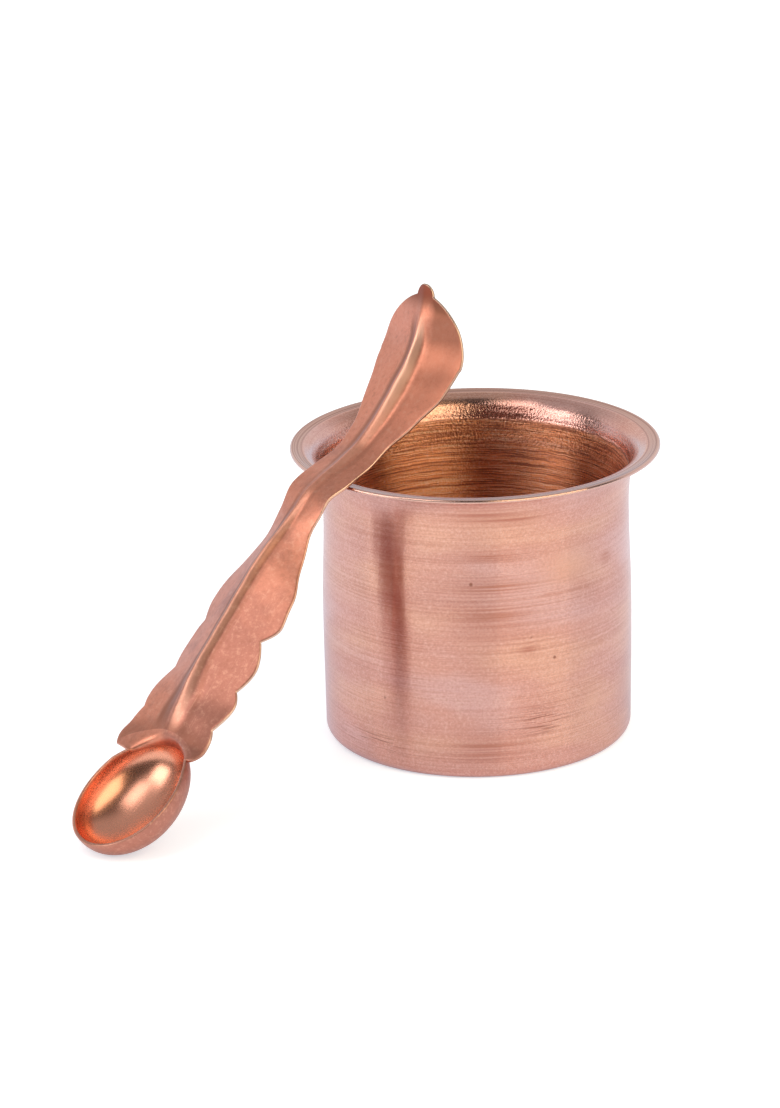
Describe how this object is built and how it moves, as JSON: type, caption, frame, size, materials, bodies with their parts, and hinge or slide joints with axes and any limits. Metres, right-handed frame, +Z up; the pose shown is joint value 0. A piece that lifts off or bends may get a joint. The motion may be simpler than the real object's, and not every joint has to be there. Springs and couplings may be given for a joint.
{
  "type": "panchpatra water cup with offering spoon",
  "caption": "Flared round copper water cup for household worship, with a scalloped long-handled offering spoon that leans on its lip and lifts off.",
  "frame": {"origin": "centre of the cup's flat bottom, on the table", "axes": "+Z up along the cup's axis; the spoon lies towards -X and -Y, with its handle rising towards +X and +Y"},
  "size_m": [0.1184, 0.1128, 0.0977],
  "materials": {
    "cup_copper": "satin copper with fine turning lines",
    "spoon_copper": "satin copper, bright on the sheared edges"
  },
  "bodies": {
    "cup": {"water_cup": "cup_copper"},
    "spoon": {"offering_spoon": "spoon_copper"}
  },
  "joints": [
    {"name": "spoon_lift", "type": "slide", "parent": "cup", "child": "spoon", "axis": [0, 0, 1], "range_m": [0, 0.08]}
  ]
}
